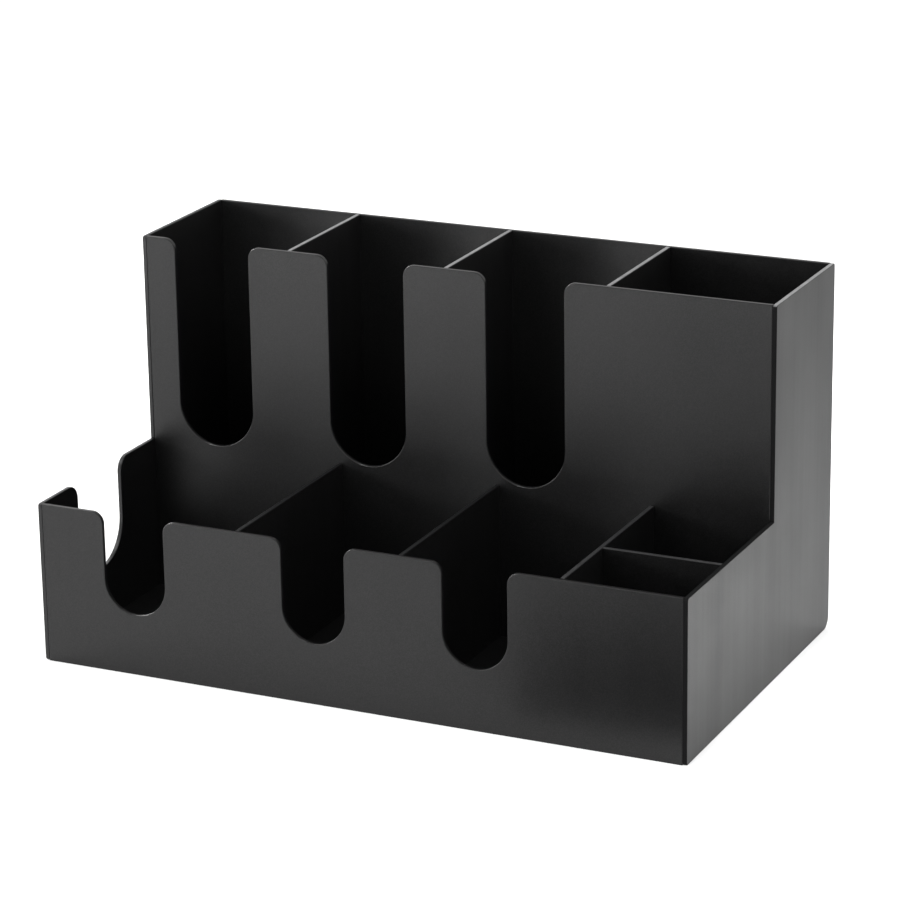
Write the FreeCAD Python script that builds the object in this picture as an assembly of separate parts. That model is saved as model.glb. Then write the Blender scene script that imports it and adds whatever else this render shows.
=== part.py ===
"""Two-tier counter organiser for cups, lids and packets, bonded from black plastic sheet.

X runs to the right, Y to the back and Z up. The origin lies on the surface that the organiser
stands on, in the middle of its length and depth. All sizes are in millimetres.
"""
import FreeCAD, Part
import math
import os

# Outer sizes
LENGTH = 450.0
TALL_HEIGHT = 250.0
TALL_DEPTH = 108.0
LOW_HEIGHT = 108.0
LOW_DEPTH = 148.0
SHEET = 3.0

# Tall tier at the back: slots in its front panel, and a divider behind the middle of each post
TALL_END_POST = 24.5
TALL_SLOT_NAMES = ("left", "middle", "right")
TALL_SLOT_WIDTH = 55.0
TALL_SLOT_PITCH = 113.5
TALL_SLOT_ABOVE_LOW = 1.0

# Low tier at the front: clear widths of its slotted bays, from the left, and the rest is a bin
LOW_BAYS = {"left": 139.5, "middle": 111.5, "right": 105.5}
LOW_SLOT_WIDTH = 44.0
LOW_SLOT_SHIFT = 3.0
LOW_SLOT_FLOOR = 41.0
BIN_FRONT_DEPTH = 60.0

# Notch in the left side panel, beside the first bay of the low tier
NOTCH_WIDTH = 56.0
NOTCH_FROM_FRONT = 73.5
NOTCH_FLOOR = 40.0

# Roundings, and the gap that the tall dividers leave at the inside of the bend
POST_CORNER = 8.0
NOTCH_CORNER = 10.0
PROFILE_CORNER = 2.0
BEND_RADIUS = 5.0
BEND_GAP = 0.5
EDGE_ROUND = 0.6

# Places that lie closer together than this count as the same
SAME_PLACE = 1e-6

# Planes of the walls
LEFT = -LENGTH / 2
RIGHT = LENGTH / 2
LEFT_INSIDE = LEFT + SHEET
RIGHT_INSIDE = RIGHT - SHEET
FRONT = -(LOW_DEPTH + TALL_DEPTH) / 2
FRONT_INSIDE = FRONT + SHEET
STEP = FRONT + LOW_DEPTH
STEP_INSIDE = STEP + SHEET
BACK = STEP + TALL_DEPTH
BACK_INSIDE = BACK - SHEET
FLOOR = SHEET
TALL_SLOT_FLOOR = LOW_HEIGHT + TALL_SLOT_ABOVE_LOW
ROUND = min(EDGE_ROUND, SHEET / 3)

X, Y, Z = FreeCAD.Vector(1, 0, 0), FreeCAD.Vector(0, 1, 0), FreeCAD.Vector(0, 0, 1)


def rounded_wire(corners, across, start):
    """Closed wire through corners (a, z, radius), where a is measured along across, from start."""
    points = [start + across * a + Z * z for a, z, _ in corners]
    turns = []
    for i, point in enumerate(points):
        radius = corners[i][2]
        back = (points[i - 1] - point).normalize()
        ahead = (points[(i + 1) % len(points)] - point).normalize()
        half_angle = back.getAngle(ahead) / 2
        reach = radius / math.tan(half_angle)
        middle = point + (back + ahead).normalize() * (radius / math.sin(half_angle) - radius)
        turns.append((point + back * reach, middle, point + ahead * reach))
    edges = []
    for i, (begin, middle, end) in enumerate(turns):
        previous_end = turns[i - 1][2]
        if not begin.isEqual(previous_end, SAME_PLACE):
            edges.append(Part.LineSegment(previous_end, begin).toShape())
        if not begin.isEqual(end, SAME_PLACE):
            edges.append(Part.Arc(begin, middle, end).toShape())
    return Part.Wire(edges)


def softened(solid, thin, lowest):
    """Rounds the edges of both broad faces of a sheet, where thin is the direction through it.

    Edges whose middle is no higher than lowest are glued or stood on, and stay sharp.
    """
    free = []
    for edge in solid.Edges:
        first, last = (vertex.Point.dot(thin) for vertex in (edge.Vertexes[0], edge.Vertexes[-1]))
        middle = edge.valueAt((edge.FirstParameter + edge.LastParameter) / 2)
        if abs(first - last) < SAME_PLACE and middle.z > lowest + SAME_PLACE:
            free.append(edge)
    return solid.makeFillet(ROUND, free)


def front_sheet(corners, y, lowest):
    """Sheet that faces the front, from y to the back, with corners (x, z, radius)."""
    wire = rounded_wire(corners, X, Y * y)
    return softened(Part.Face(wire).extrude(Y * SHEET), Y, lowest)


def side_sheet(corners, x, lowest):
    """Sheet that faces the side, from x to the right, with corners (y, z, radius)."""
    wire = rounded_wire(corners, Y, X * x)
    return softened(Part.Face(wire).extrude(X * SHEET), X, lowest)


def slot(centre, width, floor, top, corner):
    """Corners of a slot with a full round floor, open at the top, from its low side to its high side."""
    return [
        (centre - width / 2, top, corner),
        (centre - width / 2, floor, width / 2),
        (centre + width / 2, floor, width / 2),
        (centre + width / 2, top, corner),
    ]


def slotted_front(slots, bottom, top, y):
    """Front panel between the side panels, with slots down from its top edge."""
    corners = [(LEFT_INSIDE, bottom, 0), (LEFT_INSIDE, top, 0)]
    corners += slots
    corners += [(RIGHT_INSIDE, top, 0), (RIGHT_INSIDE, bottom, 0)]
    return front_sheet(corners, y, bottom)


def side_panel(x, notch):
    """Side panel with a stepped profile, whose heel follows the bend of the base."""
    corners = [(FRONT, 0, PROFILE_CORNER), (FRONT, LOW_HEIGHT, PROFILE_CORNER)]
    corners += notch
    corners += [
        (STEP, LOW_HEIGHT, 0),
        (STEP, TALL_HEIGHT, PROFILE_CORNER),
        (BACK, TALL_HEIGHT, PROFILE_CORNER),
        (BACK, 0, BEND_RADIUS + SHEET),
    ]
    return side_sheet(corners, x, -SHEET)


def base_and_back():
    """One sheet, bent upwards at the rear: base and back panel."""
    corners = [
        (FRONT_INSIDE, 0, 0),
        (FRONT_INSIDE, FLOOR, 0),
        (BACK_INSIDE, FLOOR, BEND_RADIUS),
        (BACK_INSIDE, TALL_HEIGHT, 0),
        (BACK, TALL_HEIGHT, 0),
        (BACK, 0, BEND_RADIUS + SHEET),
    ]
    wire = rounded_wire(corners, Y, X * LEFT_INSIDE)
    solid = Part.Face(wire).extrude(X * (RIGHT_INSIDE - LEFT_INSIDE))
    rim = []
    for edge in solid.Edges:
        first, last = edge.Vertexes[0].Point, edge.Vertexes[-1].Point
        if min(first.z, last.z) > TALL_HEIGHT - SAME_PLACE and abs(first.y - last.y) < SAME_PLACE:
            rim.append(edge)
    return solid.makeFillet(ROUND, rim)


def tall_divider(centre):
    """Divider between the tall tier's front panel and the back, cut away round the bend."""
    corners = [
        (STEP_INSIDE, FLOOR, 0),
        (STEP_INSIDE, TALL_HEIGHT, 0),
        (BACK_INSIDE, TALL_HEIGHT, 0),
        (BACK_INSIDE, FLOOR, BEND_RADIUS + BEND_GAP),
    ]
    return side_sheet(corners, centre - SHEET / 2, TALL_HEIGHT - SHEET)


def low_divider(centre):
    """Divider between the low tier's front panel and the tall tier."""
    corners = [
        (FRONT_INSIDE, FLOOR, 0),
        (FRONT_INSIDE, LOW_HEIGHT, 0),
        (STEP, LOW_HEIGHT, 0),
        (STEP, FLOOR, 0),
    ]
    return side_sheet(corners, centre - SHEET / 2, LOW_HEIGHT - SHEET)


def bin_divider(left):
    """Divider across the low tier's bin, from left to the right side panel."""
    corners = [
        (left, FLOOR, 0),
        (left, LOW_HEIGHT, 0),
        (RIGHT_INSIDE, LOW_HEIGHT, 0),
        (RIGHT_INSIDE, FLOOR, 0),
    ]
    return front_sheet(corners, FRONT_INSIDE + BIN_FRONT_DEPTH, LOW_HEIGHT - SHEET)


def build():
    """Every piece of the organiser, by name."""
    pieces = {"base_and_back": base_and_back()}

    tall_slots = []
    slot_centre = LEFT + TALL_END_POST + TALL_SLOT_WIDTH / 2
    for name in TALL_SLOT_NAMES:
        tall_slots += slot(slot_centre, TALL_SLOT_WIDTH, TALL_SLOT_FLOOR, TALL_HEIGHT, POST_CORNER)
        pieces["tall_divider_" + name] = tall_divider(slot_centre + TALL_SLOT_PITCH / 2)
        slot_centre += TALL_SLOT_PITCH
    pieces["tall_front_panel"] = slotted_front(tall_slots, FLOOR, TALL_HEIGHT, STEP)

    low_slots = []
    bay_left = LEFT_INSIDE
    for name, width in LOW_BAYS.items():
        slot_centre = bay_left + width / 2 - LOW_SLOT_SHIFT
        low_slots += slot(slot_centre, LOW_SLOT_WIDTH, LOW_SLOT_FLOOR, LOW_HEIGHT, POST_CORNER)
        pieces["low_divider_" + name] = low_divider(bay_left + width + SHEET / 2)
        bay_left += width + SHEET
    pieces["low_front_panel"] = slotted_front(low_slots, 0, LOW_HEIGHT, FRONT)
    pieces["bin_divider"] = bin_divider(bay_left)

    notch = slot(FRONT + NOTCH_FROM_FRONT, NOTCH_WIDTH, NOTCH_FLOOR, LOW_HEIGHT, NOTCH_CORNER)
    pieces["left_side_panel"] = side_panel(LEFT, notch)
    pieces["right_side_panel"] = side_panel(RIGHT_INSIDE, [])
    return pieces


os.makedirs("parts", exist_ok=True)
for node, solid in build().items():
    solid.exportStep("parts/" + node + ".step")
    print(node, "valid" if solid.isValid() else "NOT VALID", len(solid.Solids), round(solid.Volume))
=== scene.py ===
"""Studio picture of the two-tier counter organiser: sheet finishes, floor, light and camera.

Lengths are in metres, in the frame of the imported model: X to the right, Y to the back, Z up.
"""
import math

import bpy
from mathutils import Matrix, Vector


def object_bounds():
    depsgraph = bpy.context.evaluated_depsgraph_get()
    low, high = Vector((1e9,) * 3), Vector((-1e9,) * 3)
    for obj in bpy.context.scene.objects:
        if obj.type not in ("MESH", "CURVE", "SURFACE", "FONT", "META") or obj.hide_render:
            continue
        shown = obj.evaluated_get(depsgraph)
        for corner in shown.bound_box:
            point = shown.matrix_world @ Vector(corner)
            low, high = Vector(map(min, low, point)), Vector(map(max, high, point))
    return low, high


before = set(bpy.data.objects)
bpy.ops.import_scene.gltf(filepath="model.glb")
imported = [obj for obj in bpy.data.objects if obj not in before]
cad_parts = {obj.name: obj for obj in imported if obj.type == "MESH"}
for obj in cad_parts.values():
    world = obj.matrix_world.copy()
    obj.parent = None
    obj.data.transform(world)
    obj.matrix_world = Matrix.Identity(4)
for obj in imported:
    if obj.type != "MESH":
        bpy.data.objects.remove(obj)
cad_low, cad_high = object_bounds()

# Axes, as places in a vector
X, Y, Z = 0, 1, 2

# Camera, fitted to the corners, dividers and slots of the photograph. Lens and sensor are in millimetres
CAMERA_PLACE = Vector((0.9647, -2.0204, 0.8724))
CAMERA_AZIMUTH = math.radians(25.305)
CAMERA_ELEVATION = math.radians(18.260)
CAMERA_ROLL = math.radians(-0.882)
CAMERA_LENS = 145.5
SENSOR_WIDTH = 36.0
CLIP_START = 0.1
CLIP_END = 100.0

# Black sheet: satin faces, whose fine grain is a little lighter
FACE_COLOUR = (0.0015, 0.0015, 0.0016)
GRAIN_COLOUR = (0.0090, 0.0090, 0.0093)
FACE_ROUGHNESS = 0.40
ROUGHNESS_SPREAD = 0.035
FACE_SHINE = 0.36
SHEET_IOR = 1.5
MOTTLE_SIZE = 0.06

# Black sheet: cut edges, sawn edges, and the rims that face upwards, whose lighter colour is a painted
# highlight. Saw marks and scuffs darken a rim to a share of its colour
CUT_COLOUR = (0.0060, 0.0060, 0.0062)
CUT_ROUGHNESS = 0.32
SAWN_ROUGHNESS = 0.75
SAWN_SHINE = 0.06
RIM_ROUGHNESS = 0.38
SAW_MARK_WIDTH = 0.0011
SAW_MARK_SHARE = 0.78
SCUFF_LENGTH = 0.011
SCUFF_SHARE = 0.70

# Rims with a painted highlight: its colour, and the height from which the rims are painted lighter
TALL_RIM_HIGHLIGHT = ((0.215, 0.215, 0.217), 0.20)
BIN_RIM_HIGHLIGHT = ((0.035, 0.035, 0.036), 0.08)

# Relief of the sheet: flow lines from rolling, a slow wave, and the fine grain
FLOW_WIDTH = 0.020
FLOW_LENGTH = 0.50
FLOW_HEIGHT = 0.00017
WAVE_SIZE = 0.30
WAVE_HEIGHT = 0.0010
GRAIN_SIZE = 0.0006
GRAIN_HEIGHT = 0.000014

# Noise over which the grain, the marks and the roughness change. The roughness goes by two noises added up
GRAIN_FADE = (0.40, 0.65)
SAW_MARK_FADE = (0.35, 0.65)
SCUFF_FADE = (0.30, 0.60)
ROUGHNESS_FADE = (0.7, 1.3)

# Share of the surface's direction along an axis over which a cut edge turns into a face, or into an upward
# rim with a painted highlight
FACE_FADE = (0.80, 0.98)
UPWARD_FADE = (0.45, 0.80)

# Depth below the bent sheet's top over which its rim starts
BENT_RIM_FADE = (0.0007, 0.0003)

# Floor, and the corners of a black card on it, which the camera doesn't see and the low front mirrors
FLOOR_SIDE = 24.0
FLOOR_TONE = 0.96
FLAT_ROUGHNESS = 0.9
FLAT_SHINE = 0.5
CARD_CORNERS = ((0.10, -0.165), (0.33, -0.165), (0.33, -0.40), (-0.03, -0.40))
CARD_HEIGHT = 0.001

# Studio light. The softboxes aim at the organiser: azimuth from the front, elevation, distance, width,
# height and watts
WORLD_STRENGTH = 0.80
AIM = Vector((0, 0, 0.12))
SOFTBOXES = {
    "softbox_left_rear": (240, 24, 2.0, 0.6, 0.6, 30),
    "softbox_left_low": (300, 12, 2.2, 0.8, 0.4, 23),
    "softbox_left_high": (300, 45, 2.0, 1.0, 1.0, 10),
    "softbox_right_high": (60, 45, 2.0, 1.0, 1.0, 10),
}

# Lamps that shine straight down and leave pools of light on the floor: x, y, radius and watts. The faces
# mirror the pools, and the last one keeps the floor white at the top of the picture
LAMP_HEIGHT = 1.6
LAMP_RADIUS = 0.1
FLOOR_POOLS = {
    "pool_far_left": (-0.50, -1.20, 0.50, 670),
    "pool_front_middle": (-0.10, -0.30, 0.30, 20),
    "pool_front_right": (0.12, -0.30, 0.25, 34),
    "pool_right_front": (0.42, -0.10, 0.25, 92),
    "pool_right_rear": (0.42, 0.15, 0.22, 109),
    "pool_right_near": (0.33, 0.02, 0.14, 56),
    "pool_behind": (0.0, 0.50, 0.40, 98),
    "pool_far_rear": (-0.80, 2.00, 1.40, 18),
}


class Nodes:
    """Small helper that adds and links nodes of one material."""

    def __init__(self, material):
        material.use_nodes = True
        self.tree = material.node_tree
        self.tree.nodes.clear()

    def add(self, kind, **settings):
        node = self.tree.nodes.new(kind)
        for name, value in settings.items():
            setattr(node, name, value)
        return node

    def link(self, start, end):
        self.tree.links.new(start, end)

    def value(self, node, name, value):
        node.inputs[name].default_value = value

    def show(self, shader):
        self.link(shader.outputs["BSDF"], self.add("ShaderNodeOutputMaterial").inputs["Surface"])

    def math(self, operation, *given):
        node = self.add("ShaderNodeMath", operation=operation)
        for socket, value in zip(node.inputs, given):
            if isinstance(value, (int, float)):
                socket.default_value = value
            else:
                self.link(value, socket)
        return node.outputs[0]

    def split(self, vector):
        """The three numbers of a vector, in the order X, Y, Z."""
        node = self.add("ShaderNodeSeparateXYZ")
        self.link(vector, node.inputs[0])
        return node.outputs[X], node.outputs[Y], node.outputs[Z]

    def surface(self, name):
        """Place or direction of the surface, by the name of its socket, split into X, Y and Z."""
        return self.split(self.add("ShaderNodeNewGeometry").outputs[name])

    def noise(self, vector, size, detail):
        """Noise from 0 to 1, where size is one length or three."""
        if isinstance(size, tuple):
            scaled = self.add("ShaderNodeVectorMath", operation="DIVIDE")
            self.link(vector, scaled.inputs[0])
            scaled.inputs[1].default_value = size
            vector, size = scaled.outputs[0], 1.0
        node = self.add("ShaderNodeTexNoise")
        self.value(node, "Scale", 1 / size)
        self.value(node, "Detail", detail)
        self.link(vector, node.inputs["Vector"])
        return node.outputs["Fac"]

    def remap(self, value, low, high, new_low=0.0, new_high=1.0):
        """Value that goes from new_low to new_high while the given one goes from low to high."""
        node = self.add("ShaderNodeMapRange", clamp=True)
        names = ("From Min", "From Max", "To Min", "To Max")
        for name, given in zip(names, (low, high, new_low, new_high)):
            self.value(node, name, given)
        self.link(value, node.inputs["Value"])
        return node.outputs["Result"]

    def mix(self, factor, a, b):
        """Mix of two numbers or two colours, each given or linked."""
        colours = isinstance(a, tuple) or isinstance(b, tuple) or getattr(a, "type", "") == "RGBA"
        node = self.add("ShaderNodeMix", data_type="RGBA" if colours else "FLOAT")
        self.link(factor, node.inputs["Factor"])
        kind = "RGBA" if colours else "VALUE"
        sockets = [socket for socket in node.inputs if socket.name in ("A", "B") and socket.type == kind]
        for socket, given in zip(sockets, (a, b)):
            if isinstance(given, tuple):
                socket.default_value = (*given, 1)
            elif isinstance(given, (int, float)):
                socket.default_value = given
            else:
                self.link(given, socket)
        return next(socket for socket in node.outputs if socket.type == kind)


def sheet_material(name, across, cut_mask, rim_highlight=None):
    """Black sheet with satin faces, whose flow lines run up and repeat along the axis across.

    cut_mask gives where the sheet's cut edges are. With the last argument, the cut edges are left sawn and
    dull, but those that face upwards, from its height, are scuffed and painted lighter in its colour: a
    painted highlight.
    """
    material = bpy.data.materials.new(name)
    n = Nodes(material)
    place = n.add("ShaderNodeTexCoord").outputs["Object"]
    cut = cut_mask(n)

    mottle = n.noise(place, MOTTLE_SIZE, detail=3.0)
    flow_size = [FLOW_LENGTH] * 3
    flow_size[across] = FLOW_WIDTH
    flow = n.noise(place, tuple(flow_size), detail=3.0)
    wave = n.noise(place, WAVE_SIZE, detail=0.0)
    grain = n.noise(place, GRAIN_SIZE, detail=2.0)

    spread = n.remap(n.math("ADD", mottle, flow), *ROUGHNESS_FADE, -ROUGHNESS_SPREAD, ROUGHNESS_SPREAD)
    roughness = n.math("ADD", n.mix(cut, FACE_ROUGHNESS, CUT_ROUGHNESS), spread)
    face_colour = n.mix(n.remap(grain, *GRAIN_FADE), FACE_COLOUR, GRAIN_COLOUR)
    colour = n.mix(cut, face_colour, CUT_COLOUR)

    shader = n.add("ShaderNodeBsdfPrincipled")
    n.value(shader, "IOR", SHEET_IOR)
    n.value(shader, "Specular IOR Level", FACE_SHINE)
    if rim_highlight:
        colour, roughness, shine = paint_rim_highlight(n, place, cut, colour, roughness, rim_highlight)
        n.link(shine, shader.inputs["Specular IOR Level"])
    n.link(colour, shader.inputs["Base Color"])
    n.link(roughness, shader.inputs["Roughness"])
    n.link(relief(n, flow, wave, grain), shader.inputs["Normal"])
    n.show(shader)
    return material


def paint_rim_highlight(n, place, cut, colour, roughness, rim_highlight):
    """Colour, roughness and shine of a sheet with sawn cut edges and upward rims painted lighter as a
    highlight.
    """
    highlight_colour, lowest = rim_highlight
    # Rims that face upwards, from the given height, get a lighter colour as a painted highlight; saw marks
    # and scuffs darken it in places
    up = n.remap(n.surface("True Normal")[Z], *UPWARD_FADE)
    high = n.math("GREATER_THAN", n.split(place)[Z], lowest)
    highlit_rim = n.math("MULTIPLY", n.math("MULTIPLY", cut, up), high)
    sawn = n.math("SUBTRACT", cut, highlit_rim)
    marks = n.remap(n.noise(place, SAW_MARK_WIDTH, detail=1.0), *SAW_MARK_FADE, SAW_MARK_SHARE, 1.0)
    scuffs = n.remap(n.noise(place, SCUFF_LENGTH, detail=2.0), *SCUFF_FADE, SCUFF_SHARE, 1.0)
    colour = n.mix(n.math("MULTIPLY", highlit_rim, n.math("MULTIPLY", marks, scuffs)), colour, highlight_colour)
    roughness = n.mix(highlit_rim, n.mix(sawn, roughness, SAWN_ROUGHNESS), RIM_ROUGHNESS)
    shine = n.mix(sawn, FACE_SHINE, SAWN_SHINE)
    return colour, roughness, shine


def relief(n, flow, wave, grain):
    """Normal of a sheet with flow lines, a slow wave and a fine grain."""
    height = n.math("MULTIPLY", flow, FLOW_HEIGHT)
    height = n.math("ADD", height, n.math("MULTIPLY", wave, WAVE_HEIGHT))
    height = n.math("ADD", height, n.math("MULTIPLY", grain, GRAIN_HEIGHT))
    bump = n.add("ShaderNodeBump")
    n.value(bump, "Strength", 1.0)
    n.value(bump, "Distance", 1.0)
    n.link(height, bump.inputs["Height"])
    return bump.outputs["Normal"]


def cut_across(axis):
    """Mask of the cut edges of a flat sheet whose thickness runs along axis."""

    def mask(n):
        return n.remap(n.math("ABSOLUTE", n.surface("True Normal")[axis]), *FACE_FADE, 1.0, 0.0)

    return mask


def cut_rim(n):
    """Mask of the top rim of the bent base and back sheet."""
    low, high = (cad_high.z - depth for depth in BENT_RIM_FADE)
    return n.remap(n.surface("Position")[Z], low, high)


def dress():
    """Gives every sheet its finish."""
    front = sheet_material("sheet_facing_front", X, cut_across(Y))
    # The bin and tall copies paint upward rims lighter as a painted highlight, brighter on the tall sheets
    bin_front = sheet_material("bin_sheet_facing_front_painted_rim_highlight", X, cut_across(Y), BIN_RIM_HIGHLIGHT)
    side = sheet_material("sheet_facing_side", Y, cut_across(X))
    bin_side = sheet_material("bin_sheet_facing_side_painted_rim_highlight", Y, cut_across(X), BIN_RIM_HIGHLIGHT)
    tall_side = sheet_material("tall_sheet_facing_side_painted_rim_highlight", Y, cut_across(X), TALL_RIM_HIGHLIGHT)
    finishes = {
        "base_and_back": sheet_material("bent_sheet", X, cut_rim),
        "tall_front_panel": front,
        "low_front_panel": front,
        "bin_divider": bin_front,
        "low_divider_right": bin_side,
        "right_side_panel": tall_side,
        "tall_divider_left": tall_side,
        "tall_divider_middle": tall_side,
        "tall_divider_right": tall_side,
    }
    for name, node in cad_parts.items():
        node.data.materials.clear()
        node.data.materials.append(finishes.get(name, side))


def direction(azimuth, elevation):
    """Direction away from the organiser, at an azimuth from the front to the right, and an elevation."""
    return Vector((
        math.sin(azimuth) * math.cos(elevation),
        -math.cos(azimuth) * math.cos(elevation),
        math.sin(elevation),
    ))


def add_camera():
    data = bpy.data.cameras.new("camera")
    data.lens = CAMERA_LENS
    data.sensor_width = SENSOR_WIDTH
    data.clip_start = CLIP_START
    data.clip_end = CLIP_END
    camera = bpy.data.objects.new("camera", data)
    bpy.context.scene.collection.objects.link(camera)
    back = direction(CAMERA_AZIMUTH, CAMERA_ELEVATION)
    right = (-back).cross(Vector((0, 0, 1))).normalized()
    up = right.cross(-back)
    turned_right = right * math.cos(CAMERA_ROLL) + up * math.sin(CAMERA_ROLL)
    turned_up = up * math.cos(CAMERA_ROLL) - right * math.sin(CAMERA_ROLL)
    turn = Matrix((turned_right, turned_up, back)).transposed()
    camera.matrix_world = Matrix.Translation(CAMERA_PLACE) @ turn.to_4x4()
    bpy.context.scene.camera = camera


def lay_flat(name, corners, z, tone):
    """Flat, dull piece of the studio with corners (x, y), in a tone from 0 to 1."""
    material = bpy.data.materials.new(name)
    n = Nodes(material)
    shader = n.add("ShaderNodeBsdfPrincipled")
    n.value(shader, "Base Color", (tone, tone, tone, 1))
    n.value(shader, "Roughness", FLAT_ROUGHNESS)
    n.value(shader, "Specular IOR Level", FLAT_SHINE * tone)
    n.show(shader)
    mesh = bpy.data.meshes.new(name)
    mesh.from_pydata([(x, y, z) for x, y in corners], [], [range(len(corners))])
    mesh.materials.append(material)
    piece = bpy.data.objects.new(name, mesh)
    bpy.context.scene.collection.objects.link(piece)
    return piece


def add_floor():
    half = FLOOR_SIDE / 2
    corners = ((-half, -half), (half, -half), (half, half), (-half, half))
    lay_flat("floor", corners, cad_low.z, FLOOR_TONE)


def add_black_card():
    """Card that shows only in reflections, and neither hides nor shades the floor."""
    card = lay_flat("black_card", CARD_CORNERS, cad_low.z + CARD_HEIGHT, 0.0)
    card.visible_camera = False
    card.visible_diffuse = False
    card.visible_shadow = False


def add_world():
    world = bpy.data.worlds.new("studio")
    bpy.context.scene.world = world
    world.use_nodes = True
    background = world.node_tree.nodes["Background"]
    background.inputs["Color"].default_value = (1, 1, 1, 1)
    background.inputs["Strength"].default_value = WORLD_STRENGTH


def add_lamp(name, kind, watts, place):
    """Lamp that the camera doesn't see, and that shines down from place unless it is turned."""
    data = bpy.data.lights.new(name, kind)
    data.energy = watts
    lamp = bpy.data.objects.new(name, data)
    lamp.location = place
    lamp.visible_camera = False
    bpy.context.scene.collection.objects.link(lamp)
    return lamp


def add_softboxes():
    for name, (azimuth, elevation, distance, width, height, watts) in SOFTBOXES.items():
        away = direction(math.radians(azimuth), math.radians(elevation))
        lamp = add_lamp(name, "AREA", watts, AIM + away * distance)
        lamp.rotation_euler = away.to_track_quat("Z", "Y").to_euler()
        lamp.data.shape = "RECTANGLE"
        lamp.data.size = width
        lamp.data.size_y = height


def add_floor_pools():
    for name, (x, y, radius, watts) in FLOOR_POOLS.items():
        lamp = add_lamp(name, "SPOT", watts, (x, y, LAMP_HEIGHT))
        lamp.data.spot_size = 2 * math.atan(radius / LAMP_HEIGHT)
        lamp.data.spot_blend = 1.0
        lamp.data.shadow_soft_size = LAMP_RADIUS


dress()
add_floor()
add_black_card()
add_world()
add_softboxes()
add_floor_pools()
add_camera()
bpy.context.scene.view_settings.view_transform = "Standard"
